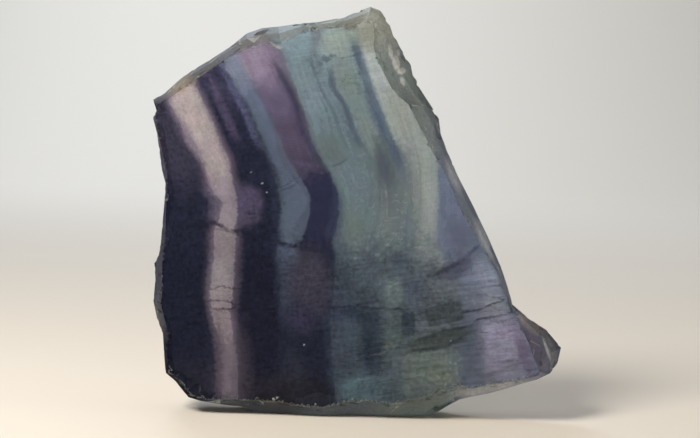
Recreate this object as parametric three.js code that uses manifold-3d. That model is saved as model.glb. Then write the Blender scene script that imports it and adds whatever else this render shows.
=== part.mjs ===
// A slab of rainbow fluorite, sawn flat on two sides, left rough all round its rim
// and sawn off below so that it stands by itself.
// Millimetres, +Z up. The polished face looks towards -Y. The origin is the middle
// of the base of the slab's box.
import * as THREE from 'three';
import { mergeVertices } from 'three/addons/utils/BufferGeometryUtils.js';
import Module from 'manifold-3d';

// ---- driving dimensions ----
const THICKNESS = 13; // between the polished face and the sawn back
const FRONT = -THICKNESS / 2;
const BACK = THICKNESS / 2;
const TURN = THREE.MathUtils.degToRad(1.8); // turns the drawn rim until the foot lies level
const FOOT_LEVEL = -0.1; // height of the saw cut above the drawn rim's zero
const FOOT_DROP = 2.2; // how far the rim ran on below the saw cut
const LEAST_DEPTH = 2; // how far behind the polished face a steep rim is widest
const DEPTH_PER_BEVEL = 1.25; // a wider bevel is widest further back
const BREAK_ACROSS = 0.62; // a bevel turns steeper this far out from the polished face's edge
const BREAK_DEPTH = 0.38; // and has gone this far back by there
const BACK_SHOULDER = 1.6; // the back's own narrow bevel, measured through the thickness
const BACK_INSET = 1.5; // how far the back's edge stands in from the widest line
const CLEAVAGE_TURN = new THREE.Euler(0.52, 0.31, 0.78); // how the crystal lattice lies in the slab
const LATTICE_SLOP = 0.12; // radians by which single flakes stray from the lattice

// The rim, clockwise from the upper left corner as seen from the front. Each row holds
// the widest line's x and z, then the x and z of the polished face's edge beside it.
const RIM = [
  [-50.7, 79.6, -49.5, 78.4], [-47.5, 81.6, -46.7, 79.9], [-44.2, 84.6, -43.2, 82.1],
  [-41.7, 86.5, -40.5, 84.1], [-36.7, 89.4, -36.0, 87.1], [-31.7, 92.6, -31.2, 90.4],
  [-27.5, 96.1, -26.7, 92.1], [-23.7, 97.4, -22.2, 93.4], [-19.7, 97.8, -18.5, 93.3],
  [-14.2, 98.5, -13.7, 96.1], [-9.7, 98.8, -9.2, 96.9], [-3.2, 100.0, -2.7, 97.6],
  [0.7, 101.7, 0.2, 98.1], [3.5, 102.7, 2.5, 99.0], [6.0, 101.6, 4.2, 97.6],
  [8.5, 97.8, 4.2, 94.1], [10.7, 92.9, 4.3, 91.4], [12.3, 90.4, 5.0, 89.4],
  [13.9, 87.6, 7.0, 85.4], [15.5, 82.9, 8.5, 82.6], [17.0, 80.6, 10.2, 80.6],
  [18.9, 77.7, 12.7, 78.6], [20.7, 74.7, 14.2, 75.9], [21.1, 70.9, 16.4, 71.4],
  [22.5, 67.1, 18.6, 67.1], [25.2, 60.7, 22.6, 60.1], [29.3, 52.8, 26.0, 52.1],
  [33.0, 45.1, 30.0, 44.9], [36.2, 37.6, 34.5, 37.4], [38.2, 31.6, 37.0, 31.4],
  [39.0, 28.4, 38.2, 28.1], [41.3, 26.4, 40.0, 25.9], [43.5, 24.4, 40.7, 23.1],
  [48.3, 21.0, 42.7, 19.6], [52.2, 16.3, 44.0, 15.9], [51.3, 12.4, 45.2, 12.9],
  [49.0, 10.4, 46.2, 11.9], [45.6, 9.0, 44.2, 10.9], [41.4, 8.0, 40.7, 9.6],
  [37.9, 6.5, 37.7, 9.4], [33.4, 5.1, 33.2, 8.6], [28.6, 4.2, 28.7, 7.6],
  [26.3, 3.1, 25.0, 8.4], [24.0, 1.6, 22.5, 7.9], [21.5, 0.1, 20.2, 6.9],
  [18.0, 0.2, 17.0, 5.4], [14.0, 0.2, 13.7, 4.4], [8.2, 0.3, 8.2, 3.7],
  [2.0, 0.4, 2.0, 4.5], [-3.0, 0.5, -2.5, 4.3], [-8.7, 0.7, -8.7, 2.7],
  [-14.2, 1.0, -14.2, 3.2], [-19.2, 1.2, -19.2, 4.2], [-24.7, 1.6, -24.7, 4.6],
  [-29.3, 1.8, -29.2, 4.7], [-34.4, 2.7, -34.2, 4.7], [-39.5, 3.7, -38.7, 4.9],
  [-42.7, 4.6, -41.7, 5.9], [-44.6, 7.1, -43.2, 7.9], [-46.0, 8.9, -44.7, 9.7],
  [-48.3, 10.9, -47.0, 11.6], [-48.6, 16.6, -47.5, 16.6], [-48.9, 20.8, -47.2, 20.4],
  [-50.5, 24.5, -47.7, 24.1], [-51.3, 29.1, -49.0, 29.1], [-50.7, 34.6, -48.5, 34.1],
  [-51.0, 38.5, -48.5, 38.1], [-49.7, 40.8, -48.2, 41.1], [-49.0, 45.2, -47.7, 45.1],
  [-48.0, 54.6, -47.2, 54.6], [-47.7, 58.9, -47.0, 58.9], [-48.7, 62.1, -47.0, 61.9],
  [-49.7, 71.6, -49.2, 71.6], [-50.8, 75.4, -49.5, 75.4], [-49.7, 76.9, -49.2, 76.9],
];
const FOOT_SPAN = [-25, 18.1]; // x between which the drawn rim runs below the saw cut

// Flakes knapped off the rim: where across the rim (0 is the polished face's edge, 1 the
// back's), how many, how large, and how deep they bite as a share of their size.
const FLAKES = [
  { across: [0.02, 0.1], count: 120, size: [0.8, 1.9], bite: [0.1, 0.32] },
  { across: [0.25, 0.9], count: 130, size: [2.4, 5.5], bite: [0.05, 0.2] },
  { across: [0.3, 0.95], count: 90, size: [1.2, 2.6], bite: [0.12, 0.3] },
  { across: [0.9, 1.0], count: 90, size: [1.0, 2.8], bite: [0.1, 0.35] },
];

// Repeatable random numbers from 0 to 1.
function seeded(seed) {
  let state = seed >>> 0;
  return () => {
    state = (state + 0x6d2b79f5) >>> 0;
    let t = state;
    t = Math.imul(t ^ (t >>> 15), t | 1);
    t ^= t + Math.imul(t ^ (t >>> 7), t | 61);
    return ((t ^ (t >>> 14)) >>> 0) / 4294967296;
  };
}

function between([low, high], random) {
  return low + (high - low) * random();
}

// The drawn rim with the foot turned level, as the rings of points that the slab is lofted through.
function rimRings() {
  const random = seeded(11);
  const centre = new THREE.Vector2(0, 0);
  const level = (x, z) => new THREE.Vector2(x, z).rotateAround(centre, TURN);
  const widest = RIM.map(([x, z]) => {
    const onFoot = x > FOOT_SPAN[0] && x < FOOT_SPAN[1] && z < 5;
    return level(x, onFoot ? z - FOOT_DROP : z);
  });
  const face = RIM.map(([, , x, z]) => level(x, z));
  const count = RIM.length;
  const rings = [[], [], [], [], []];
  for (let i = 0; i < count; i++) {
    const along = widest[(i + 1) % count].clone().sub(widest[(i + count - 1) % count]).normalize();
    const inward = new THREE.Vector2(along.y, -along.x);
    const bevel = face[i].distanceTo(widest[i]);
    const depth = Math.min(LEAST_DEPTH + DEPTH_PER_BEVEL * bevel, THICKNESS - BACK_SHOULDER - 1.5);
    const shoulder = widest[i].clone().addScaledVector(inward, 0.3 + 0.4 * random());
    const back = widest[i].clone().addScaledVector(inward, BACK_INSET * (0.5 + random()));
    const stray = 0.12 * (random() - 0.5);
    const ridge = face[i].clone().lerp(widest[i], BREAK_ACROSS + stray);
    rings[0].push(new THREE.Vector3(face[i].x, FRONT, face[i].y));
    rings[1].push(new THREE.Vector3(ridge.x, FRONT + depth * (BREAK_DEPTH + stray), ridge.y));
    rings[2].push(new THREE.Vector3(widest[i].x, FRONT + depth, widest[i].y));
    rings[3].push(new THREE.Vector3(shoulder.x, BACK - BACK_SHOULDER * (0.6 + 0.8 * random()), shoulder.y));
    rings[4].push(new THREE.Vector3(back.x, BACK, back.y));
  }
  return rings;
}

// A closed body through rings of equally many points, with flat ends.
function loft(rings) {
  const count = rings[0].length;
  const points = rings.flat();
  const faces = [];
  for (let r = 0; r + 1 < rings.length; r++) {
    for (let i = 0; i < count; i++) {
      const next = (i + 1) % count;
      const [a, b, c, d] = [r * count + i, r * count + next, (r + 1) * count + next, (r + 1) * count + i];
      faces.push(a, b, c, a, c, d);
    }
  }
  for (const [ring, flip] of [[0, false], [rings.length - 1, true]]) {
    const flat = rings[ring].map((p) => new THREE.Vector2(p.x, p.z));
    for (const [a, b, c] of THREE.ShapeUtils.triangulateShape(flat, [])) {
      const corners = flip ? [a, c, b] : [a, b, c];
      faces.push(...corners.map((k) => ring * count + k));
    }
  }
  const geometry = new THREE.BufferGeometry().setFromPoints(points);
  geometry.setIndex(faces);
  return geometry;
}

// ---- solids that can be cut ----
const wasm = await Module();
wasm.setup();

function toSolid(geometry) {
  const bare = geometry.clone();
  bare.deleteAttribute('normal');
  bare.deleteAttribute('uv');
  const merged = mergeVertices(bare, 1e-4);
  return new wasm.Manifold(new wasm.Mesh({
    numProp: 3,
    vertProperties: new Float32Array(merged.attributes.position.array),
    triVerts: new Uint32Array(merged.index.array),
  }));
}

function toGeometry(solid) {
  const mesh = solid.getMesh();
  const geometry = new THREE.BufferGeometry();
  geometry.setAttribute('position', new THREE.BufferAttribute(new Float32Array(mesh.vertProperties), 3));
  geometry.setIndex(new THREE.BufferAttribute(new Uint32Array(mesh.triVerts), 1));
  return geometry;
}

// A point on the rim: along is 0 to 1 round it, across is 0 at the polished face and 1 at the back.
function rimPoint(rings, along, across) {
  const count = rings[0].length;
  const i = Math.floor(along * count) % count;
  const share = along * count - Math.floor(along * count);
  const line = rings.map((ring) => ring[i].clone().lerp(ring[(i + 1) % count], share));
  const strips = rings.length - 1;
  const step = Math.min(Math.floor(across * strips), strips - 1);
  const place = line[step].clone().lerp(line[step + 1], across * strips - step);
  const around = rings[step][(i + 1) % count].clone().sub(rings[step][i]);
  const through = line[step + 1].clone().sub(line[step]);
  return { place, outward: around.cross(through).normalize() };
}

// One flake: fluorite cleaves along the faces of an octahedron, so that is the scar it leaves.
function flake(place, size, random) {
  const slop = () => (random() - 0.5) * 2 * LATTICE_SLOP;
  const lattice = new THREE.Quaternion().setFromEuler(CLEAVAGE_TURN);
  const stray = new THREE.Quaternion().setFromEuler(new THREE.Euler(slop(), slop(), slop()));
  const stretch = new THREE.Vector3(1, 1, 1).multiplyScalar(size);
  const matrix = new THREE.Matrix4().compose(place, lattice.multiply(stray), stretch);
  return new THREE.OctahedronGeometry(1).applyMatrix4(matrix);
}

function knapped(solid, rings) {
  const random = seeded(29);
  const inRadius = 1 / Math.sqrt(3); // of an octahedron of size 1
  for (const { across, count, size, bite } of FLAKES) {
    for (let k = 0; k < count; k++) {
      const along = (k + 0.9 * random()) / count;
      const { place, outward } = rimPoint(rings, along, between(across, random));
      const reach = between(size, random);
      place.addScaledVector(outward, reach * (inRadius + 0.15 - between(bite, random)));
      solid = solid.subtract(toSolid(flake(place, reach, random)));
    }
  }
  return solid;
}

// The saw cut below, on which the slab stands.
function sawn(solid) {
  const blade = new THREE.BoxGeometry(300, 300, 40);
  blade.translate(0, 0, FOOT_LEVEL - 20);
  return solid.subtract(toSolid(blade));
}

// ---- the slab ----
function slab() {
  const rings = rimRings();
  const geometry = toGeometry(sawn(knapped(toSolid(loft(rings)), rings)));
  geometry.computeBoundingBox();
  const { min, max } = geometry.boundingBox;
  geometry.translate(-(min.x + max.x) / 2, -(min.y + max.y) / 2, -min.z);
  geometry.computeVertexNormals();
  const stone = new THREE.MeshStandardMaterial({ color: 0x6f7f88, roughness: 0.25, metalness: 0, flatShading: true });
  const mesh = new THREE.Mesh(geometry, stone);
  mesh.name = 'fluorite_slab';
  return mesh;
}

const part = new THREE.Group();
part.add(slab());
export default part;
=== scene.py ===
"""A slab of rainbow fluorite: polished in front, sawn behind, cleaved all round its rim.

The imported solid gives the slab's size and main shape. This script chips its rim more finely,
gives the stone its growth bands and stands it on a pale sheet in soft studio light.
"""
import math

import bmesh
import bpy
from bpy.props import FloatProperty, FloatVectorProperty, IntProperty, PointerProperty
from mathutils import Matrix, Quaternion, Vector
from mathutils.bvhtree import BVHTree


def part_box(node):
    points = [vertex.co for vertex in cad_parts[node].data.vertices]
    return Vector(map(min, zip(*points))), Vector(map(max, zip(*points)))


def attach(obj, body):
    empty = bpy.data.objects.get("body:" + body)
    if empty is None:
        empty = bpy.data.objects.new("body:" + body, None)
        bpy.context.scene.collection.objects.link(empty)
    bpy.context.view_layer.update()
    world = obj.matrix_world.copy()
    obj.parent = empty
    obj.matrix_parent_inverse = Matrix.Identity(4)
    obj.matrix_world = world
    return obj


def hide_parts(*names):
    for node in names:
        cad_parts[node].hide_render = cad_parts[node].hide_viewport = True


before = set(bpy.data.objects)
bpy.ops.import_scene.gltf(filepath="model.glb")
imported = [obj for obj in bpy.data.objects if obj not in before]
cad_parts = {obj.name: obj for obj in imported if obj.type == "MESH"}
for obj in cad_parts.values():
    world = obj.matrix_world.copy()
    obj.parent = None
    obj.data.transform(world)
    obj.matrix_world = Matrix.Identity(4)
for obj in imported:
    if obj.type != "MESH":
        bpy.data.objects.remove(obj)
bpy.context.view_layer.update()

bl_info = {
    "name": "Fluorite Slab",
    "version": (1, 0, 0),
    "blender": (4, 5, 0),
    "location": "3D View > Sidebar > Fluorite",
    "description": "Dresses the packed slab solid as banded rainbow fluorite",
    "category": "Add Mesh",
}

NODE = "fluorite_slab"
MM = 0.001
LOW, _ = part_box(NODE)

# The rim and the bands were drawn before the foot was turned level.
TURN = math.radians(1.8)
DRAWN_ORIGIN = (0.76 * MM, 0.1 * MM)  # where the drawing's zero lies now, in x and z
DRAWN_SCALE = 1.00875  # the bands are drawn a little larger than the outline
DRAWN_SHIFT = (0.015, -0.437)  # mm to the right and up that the larger drawing is moved by


def tone(code):
    """A colour's scene-linear values from its usual six-digit code."""
    channels = [int(code[i:i + 2], 16) / 255 for i in (0, 2, 4)]
    linear = [c / 12.92 if c <= 0.04045 else ((c + 0.055) / 1.055) ** 2.4 for c in channels]
    return (*linear, 1.0)


# ---------------------------------------------------------------- settings


class FluoriteChips(bpy.types.PropertyGroup):
    """Sizes of the small cleavage flakes that the rim has lost"""

    seed: IntProperty(name="Seed", description="Which of the many possible rims", default=7)
    coarse: FloatProperty(
        name="Coarse Flake", description="Largest of the coarse flakes, centre to tip",
        default=2.0 * MM, subtype="DISTANCE", unit="LENGTH",
    )
    fine: FloatProperty(
        name="Fine Flake", description="Largest of the fine flakes, centre to tip",
        default=1.2 * MM, subtype="DISTANCE", unit="LENGTH",
    )
    nick: FloatProperty(
        name="Nick", description="Largest nick along the polished face's edge",
        default=0.5 * MM, subtype="DISTANCE", unit="LENGTH",
    )
    crumb: FloatProperty(
        name="Crumb", description="Largest nick along the polished face's lower edge",
        default=0.42 * MM, subtype="DISTANCE", unit="LENGTH",
    )


def colour_property(name, code, description):
    return FloatVectorProperty(
        name=name, description=description, default=tone(code)[:3], size=3, subtype="COLOR",
        min=0.0, max=1.0,
    )


class FluoriteTones(bpy.types.PropertyGroup):
    """Colours of the growth bands, as they are in the middle of the slab's height"""

    ink: colour_property("Ink", "262A42", "Nearly black violet of the dark bands")
    violet: colour_property("Violet", "73687F", "Edge of the dark bands where they thin out")
    cream: colour_property("Cream", "C8BABE", "The pale band")
    slate: colour_property("Slate", "6A758D", "The grey-blue band")
    mauve: colour_property("Mauve", "6A5F7C", "The purple band")
    teal: colour_property("Teal", "7F929C", "The sea-blue zone")
    sage: colour_property("Sage", "859699", "The grey-green bands")
    pale: colour_property("Pale", "ADB7B7", "The palest green-grey band")
    lavender: colour_property("Lavender", "8490AB", "The blue-violet zone on the right")
    crack: colour_property("Crack", "1E2134", "Hairline cracks inside the stone")
    khaki: colour_property("Khaki", "8A8A7E", "Weathered skin on the upper rim")
    fresh: colour_property("Fresh", "B9BDB0", "Crushed stone where the edge is freshly nicked")


class FluoriteStudio(bpy.types.PropertyGroup):
    """The light and the camera"""

    distance: FloatProperty(
        name="Camera Distance", description="From the slab to the lens",
        default=0.4, subtype="DISTANCE", unit="LENGTH",
    )
    elevation: FloatProperty(
        name="Camera Height", description="How far the camera looks down",
        default=math.radians(5.0), subtype="ANGLE", unit="ROTATION",
    )
    key: FloatProperty(name="Key Light", description="Power of the main light", default=1.87, unit="POWER")


# ---------------------------------------------------------------- node helpers


class Wire:
    """One socket of a node tree, which can be used in sums."""

    def __init__(self, tree, socket):
        self.tree = tree
        self.socket = socket

    def __add__(self, other):
        return maths(self.tree, "ADD", self, other)

    def __sub__(self, other):
        return maths(self.tree, "SUBTRACT", self, other)

    def __rsub__(self, other):
        return maths(self.tree, "SUBTRACT", other, self)

    def __mul__(self, other):
        return maths(self.tree, "MULTIPLY", self, other)

    def __truediv__(self, other):
        return maths(self.tree, "DIVIDE", self, other)

    __radd__ = __add__
    __rmul__ = __mul__


def connect(tree, value, socket):
    """Feeds a socket from a wire, or sets it to a plain value."""
    if isinstance(value, Wire):
        tree.links.new(value.socket, socket)
    else:
        socket.default_value = value


def build(tree, kind, inputs=None, output=0, **settings):
    """Adds a node, sets it up and gives the wire from one of its outputs."""
    node = tree.nodes.new(kind)
    for name, value in settings.items():
        setattr(node, name, value)
    for name, value in (inputs or {}).items():
        connect(tree, value, node.inputs[name])
    return Wire(tree, node.outputs[output])


def maths(tree, operation, a, b=0.0):
    return build(tree, "ShaderNodeMath", {0: a, 1: b}, operation=operation)


def vector_maths(tree, operation, a, b=(0, 0, 0), output=0):
    return build(tree, "ShaderNodeVectorMath", {0: a, 1: b}, output, operation=operation)


def smooth(value, low, high):
    """0 below low and 1 above high, with a soft step between them."""
    ends = {"Value": value, "From Min": low, "From Max": high, "To Min": 0.0, "To Max": 1.0}
    return build(value.tree, "ShaderNodeMapRange", ends, interpolation_type="SMOOTHSTEP", clamp=False)


def within_one(value):
    """The value kept between 0 and 1. A clamp ticked on a node would make the shader far bigger."""
    return maths(value.tree, "MINIMUM", maths(value.tree, "MAXIMUM", value, 0.0), 1.0)


def split(vector):
    """The x, y and z of a vector."""
    node = vector.tree.nodes.new("ShaderNodeSeparateXYZ")
    vector.tree.links.new(vector.socket, node.inputs[0])
    return [Wire(vector.tree, socket) for socket in node.outputs]


def reach_along(vector, axis):
    """How far a vector reaches along an axis."""
    return vector_maths(vector.tree, "DOT_PRODUCT", vector, axis, 1)


def right_and_up(vector):
    """The x and z of a vector. A Separate XYZ node would keep memory for the unused y."""
    return reach_along(vector, (1, 0, 0)), reach_along(vector, (0, 0, 1))


def join(tree, x, y, z):
    return build(tree, "ShaderNodeCombineXYZ", {0: x, 1: y, 2: z})


def blended(tree, blend, share, a, b):
    """Two colours brought together in one of the usual ways of blending."""
    node = tree.nodes.new("ShaderNodeMix")
    node.data_type = "RGBA"
    node.blend_type = blend
    connect(tree, share, node.inputs[0])
    connect(tree, a, node.inputs[6])
    connect(tree, b, node.inputs[7])
    return Wire(tree, node.outputs[2])


def mix(share, a, b):
    """Colour b laid over colour a."""
    return blended(share.tree, "MIX", share, a, b)


def times(colour, other):
    """Two colours multiplied. Staying with colours keeps the shader small."""
    return blended(colour.tree, "MULTIPLY", 1.0, colour, other)


def scaled(colour, factor):
    """A colour made lighter or darker by a factor that changes over the stone."""
    if not isinstance(factor, Wire):
        return times(colour, (factor, factor, factor, 1.0))
    return times(colour, build(colour.tree, "ShaderNodeCombineColor", {0: factor, 1: factor, 2: factor}))


def noise(vector, scale, detail=2.0, roughness=0.5):
    inputs = {"Vector": vector, "Scale": scale, "Detail": detail, "Roughness": roughness}
    return build(vector.tree, "ShaderNodeTexNoise", inputs)


SOCKET_TYPES = {float: "Float", int: "Int", tuple: "Vector"}


def new_group(name, kind, takes, gives):
    """A node group with named sockets; gives the tree and its input wires by name.

    takes has each input's first value, or the name of its type where it has no such value, and
    gives has the names of the outputs' types.
    """
    tree = bpy.data.node_groups.new(name, kind)
    for in_out, sockets in (("INPUT", takes), ("OUTPUT", gives)):
        for label, value in sockets.items():
            typed = isinstance(value, str)
            socket_type = "NodeSocket" + (value if typed else SOCKET_TYPES[type(value)])
            socket = tree.interface.new_socket(label, in_out=in_out, socket_type=socket_type)
            if not typed:
                socket.default_value = value
    source = tree.nodes.new("NodeGroupInput")
    wires = {s.name: Wire(tree, s) for s in source.outputs if s.name}
    return tree, wires


def give_out(tree, **values):
    """Connects a group's outputs, named with _ for spaces."""
    target = tree.nodes.new("NodeGroupOutput")
    for name, value in values.items():
        connect(tree, value, target.inputs[name.replace("_", " ")])


def place(tree, group, **inputs):
    """Puts a shader group into a tree with its own values, named with _ for spaces."""
    node = tree.nodes.new("ShaderNodeGroup")
    node.node_tree = group
    for name, value in inputs.items():
        connect(tree, value, node.inputs[name.replace("_", " ")])
    return Wire(tree, node.outputs[0])


# ---------------------------------------------------------------- the rim's flakes

LATTICE = (0.52, 0.31, 0.78)  # how the crystal lies in the slab, as its solid has it
IN_RADIUS = 1 / math.sqrt(3)  # of an octahedron with tips at 1
POLISHED = 0.999  # a face that looks forwards this much belongs to the polish
BROKEN = 0.97  # and one that looks forwards or backwards less than this is part of the rim
CLEAR_OF_FACE = 0.2  # how far an octahedron of size 1 stands clear of a face with no bite


def compared(tree, operation, a, b):
    return build(tree, "FunctionNodeCompare", {0: a, 1: b}, operation=operation)


def both(tree, a, b):
    return build(tree, "FunctionNodeBooleanMath", {0: a, 1: b}, operation="AND")


def stretched(tree, vector, factor):
    """A vector made longer or shorter."""
    return build(tree, "ShaderNodeVectorMath", {0: vector, "Scale": factor}, operation="SCALE")


def only(tree, geometry, chosen, domain):
    """The chosen faces or points of a geometry."""
    inputs = {"Geometry": geometry, "Selection": chosen}
    return build(tree, "GeometryNodeSeparateGeometry", inputs, domain=domain)


def octahedra(tree, points, size):
    """An octahedron at each point: fluorite cleaves along its faces."""
    form = build(tree, "GeometryNodeMeshUVSphere", {"Segments": 4, "Rings": 2, "Radius": 1.0})
    inputs = {"Points": points, "Instance": form, "Rotation": LATTICE, "Scale": size}
    return build(tree, "GeometryNodeInstanceOnPoints", inputs)


def cut_away(tree, body, flakes, material):
    """The body without the flakes, as a plain mesh of one material."""
    cut = build(
        tree, "GeometryNodeMeshBoolean", {0: body, 1: flakes}, operation="DIFFERENCE", solver="MANIFOLD"
    )
    plain = build(tree, "GeometryNodeRealizeInstances", {0: cut})
    return build(tree, "GeometryNodeSetMaterial", {"Geometry": plain, "Material": material})


def random_size(tree, low, high, seed):
    """Mostly small, now and then large."""
    ends = {2: 0.0, 3: 1.0, "Seed": seed}
    even = build(tree, "FunctionNodeRandomValue", ends, output=1, data_type="FLOAT")
    return low + maths(tree, "POWER", even, 2.0) * (high - low)


def flake_tree():
    """Flakes scattered over the broken rim, in the directions of the crystal's cleavage."""
    takes = {
        "Slab": "Geometry", "Flakes Per Square Metre": 1e5, "Smallest": 0.3 * MM, "Largest": 1.0 * MM,
        "Bite": 0.25, "Least Upright": -0.999, "Seed": 1, "Stone": "Material",
    }
    tree, given = new_group("Cleavage flakes", "GeometryNodeTree", takes, {"Slab": "Geometry"})
    _, across, upright = split(build(tree, "GeometryNodeInputNormal"))
    on_rim = compared(tree, "LESS_THAN", maths(tree, "ABSOLUTE", across), BROKEN)
    off_foot = compared(tree, "GREATER_THAN", upright, given["Least Upright"])
    broken = both(tree, on_rim, off_foot)
    scattered = tree.nodes.new("GeometryNodeDistributePointsOnFaces")
    connect(tree, given["Slab"], scattered.inputs["Mesh"])
    connect(tree, broken, scattered.inputs["Selection"])
    connect(tree, given["Flakes Per Square Metre"], scattered.inputs["Density"])
    connect(tree, given["Seed"], scattered.inputs["Seed"])
    size = random_size(tree, given["Smallest"], given["Largest"], given["Seed"])
    lift = size * (IN_RADIUS + CLEAR_OF_FACE - given["Bite"])
    outward = stretched(tree, Wire(tree, scattered.outputs["Normal"]), lift)
    moves = {"Geometry": Wire(tree, scattered.outputs["Points"]), "Offset": outward}
    points = build(tree, "GeometryNodeSetPosition", moves)
    cut = cut_away(tree, given["Slab"], octahedra(tree, points, size), given["Stone"])
    give_out(tree, Slab=cut)
    return tree


def nick_tree():
    """Nicks along the line where the polished face meets the rim."""
    takes = {
        "Slab": "Geometry", "Spacing": 0.5 * MM, "Smallest": 0.1 * MM, "Largest": 0.5 * MM,
        "Lowest": 0.0, "Highest": 1.0, "Seed": 1, "Stone": "Material",
    }
    tree, given = new_group("Edge nicks", "GeometryNodeTree", takes, {"Slab": "Geometry"})
    _, across, _ = split(build(tree, "GeometryNodeInputNormal"))
    face = only(tree, given["Slab"], compared(tree, "LESS_THAN", across, -POLISHED), "FACE")
    neighbours = build(tree, "GeometryNodeInputMeshEdgeNeighbors")
    border = compared(tree, "LESS_THAN", neighbours, 1.5)
    line = build(tree, "GeometryNodeMeshToCurve", {"Mesh": face, "Selection": border})
    spaced = {"Curve": line, "Length": given["Spacing"]}
    points = build(tree, "GeometryNodeCurveToPoints", spaced, mode="LENGTH")
    _, _, height = split(build(tree, "GeometryNodeInputPosition"))
    above = compared(tree, "GREATER_THAN", height, given["Lowest"])
    below = compared(tree, "LESS_THAN", height, given["Highest"])
    kept = only(tree, points, both(tree, above, below), "POINT")
    size = random_size(tree, given["Smallest"], given["Largest"], given["Seed"])
    ends = {0: (-1, -1, -1), 1: (1, 1, 1), "Seed": given["Seed"] + 1}
    stray = build(tree, "FunctionNodeRandomValue", ends, data_type="FLOAT_VECTOR")
    offset = stretched(tree, stray, size * 0.5)
    moved = build(tree, "GeometryNodeSetPosition", {"Geometry": kept, "Offset": offset})
    cut = cut_away(tree, given["Slab"], octahedra(tree, moved, size), given["Stone"])
    give_out(tree, Slab=cut)
    return tree


def apply_tree(piece, tree, **inputs):
    """Runs a geometry tree on a piece once and keeps the result as its plain mesh."""
    modifier = piece.modifiers.new(tree.name, "NODES")
    modifier.node_group = tree
    sockets = tree.interface.items_tree
    identifiers = {item.name: item.identifier for item in sockets if item.in_out == "INPUT"}
    for name, value in inputs.items():
        modifier[identifiers[name.replace("_", " ")]] = value
    depsgraph = bpy.context.evaluated_depsgraph_get()
    depsgraph.update()
    mesh = bpy.data.meshes.new_from_object(piece.evaluated_get(depsgraph))
    piece.modifiers.remove(modifier)
    piece.data = mesh


def surface_of(mesh):
    """A mesh's surface, as a tree that finds its nearest point."""
    return BVHTree.FromPolygons([v.co for v in mesh.vertices], [p.vertices for p in mesh.polygons])


SAWN = 0.9995  # a face that looks straight forwards or backwards by this much was sawn
OFF_SURFACE = 0.004 * MM  # a face whose middle is farther from the earlier surface is a new one


def mark_faces(mesh, cuts):
    """Stores what each face is, for the stone's finish: 0 or 1, or a share.

    rim is 1 on broken faces, back on the sawn one, sky is how far a face looks up, and fresh is
    how crushed it is. cuts lists the surface before each cut and the crushing that the cut leaves.
    """
    rim, back, sky, fresh = [], [], [], []
    for face in mesh.polygons:
        flat = abs(face.normal.y) > SAWN
        rim.append(0.0 if flat else 1.0)
        back.append(1.0 if flat and face.normal.y > 0 else 0.0)
        sky.append(max(0.0, face.normal.z))
        crushed = 0.0
        for surface, amount in cuts:
            if surface.find_nearest(face.center)[3] > OFF_SURFACE:
                crushed = amount
        fresh.append(crushed)
    for name, values in (("rim", rim), ("back", back), ("sky", sky), ("fresh", fresh)):
        mesh.attributes.new(name, "FLOAT", "FACE").data.foreach_set("value", values)


# ---------------------------------------------------------------- the stone's material

# Lines that follow the growth of the crystal, each as (height, distance to the right) in mm of
# the drawing. The bands between two of them follow both.
GUIDES = {
    "cream_left": [
        (0, -34.3), (8, -34), (14, -34), (20, -34.9), (26.6, -36.5), (32, -37), (37, -36.4), (41, -35.9),
        (46, -36), (50, -34.8), (54, -33.8), (57, -36.2), (61.6, -37.9), (65, -38.9), (68.6, -41.6),
        (72, -43), (75.6, -44.9), (79, -46.5), (90, -50.5),
    ],
    "cream_right": [
        (0, -30.1), (12, -30.1), (20, -31), (26.6, -31.8), (32, -31.1), (38, -30.8), (44, -30.4),
        (47.6, -30.4), (51, -29.8), (54.6, -29.8), (58, -30.6), (61.6, -31.3), (65, -31.7), (68.6, -33.4),
        (72, -34.9), (75.6, -36.5), (79, -38), (82, -39.4), (100, -49),
    ],
    "slate_left": [
        (0, -19.5), (30, -18.8), (37, -18.4), (44, -18.6), (48, -19), (51, -18.3), (54.6, -18.3),
        (58, -19.3), (61.6, -20), (65, -21.6), (68.6, -23), (72, -24.6), (75.6, -25.9), (79, -27.7),
        (82.6, -29.7), (86, -31.5), (90, -33.4), (100, -38),
    ],
    "slate_right": [
        (0, -14), (30, -14), (43, -14), (47.6, -12.9), (51, -11.8), (54.6, -11.6), (57, -12.1),
        (61.6, -14.9), (67, -17.9), (72, -19.8), (75.9, -21.7), (79, -23.2), (83.4, -25.5), (86, -27),
        (90, -29.2), (100, -34),
    ],
    "mauve_right": [
        (0, -5), (9, -5.4), (16, -5.8), (24, -6.2), (30, -5.6), (37, -5.2), (41, -5.4), (44, -6.2),
        (47.6, -5.2), (51, -4.5), (54.6, -4.6), (58, -5.1), (61.6, -6.7), (65, -8.6), (68.6, -10.6),
        (72, -11.6), (75.6, -12.4), (79, -13.8), (82.6, -15), (86, -16.4), (89.6, -17.4), (100, -23),
    ],
    "streak": [
        (0, 8), (40, 9.5), (55, 11), (62, 10.8), (66, 9.6), (70, 8.2), (73.4, 6.5), (77, 5.3), (81, 3.2),
        (85, 1.3), (88.4, 0.3), (92, 0.2), (100, -1),
    ],
    "pale_left": [
        (0, 27), (20, 22), (30, 18.5), (40, 16), (45, 15), (62, 14.6), (67, 13.3), (70, 10.4),
        (73.4, 9.2), (77, 7.9), (81, 6.4), (85, 4.9), (92, 3.4), (100, 1.5),
    ],
    "pale_right": [
        (0, 26.5), (30, 25.6), (40, 22), (45, 20.4), (55, 20.2), (67, 20), (70, 19.8), (80, 18), (100, 12),
    ],
    "lavender_right": [(0, 34), (20, 33.2), (30, 32.3), (40, 30.8), (50, 28.5), (70, 26), (100, 18)],
    "lilac_right": [(0, 45), (10, 43), (20, 41.5), (30, 40), (50, 34), (70, 30), (100, 22)],
}
LEAN = (0.16, -0.06)  # mm to the right and up that the bands lean for each mm of depth
UPWARDS = (0.0, 110.0)  # mm of height that a line drawn upwards may span
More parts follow.
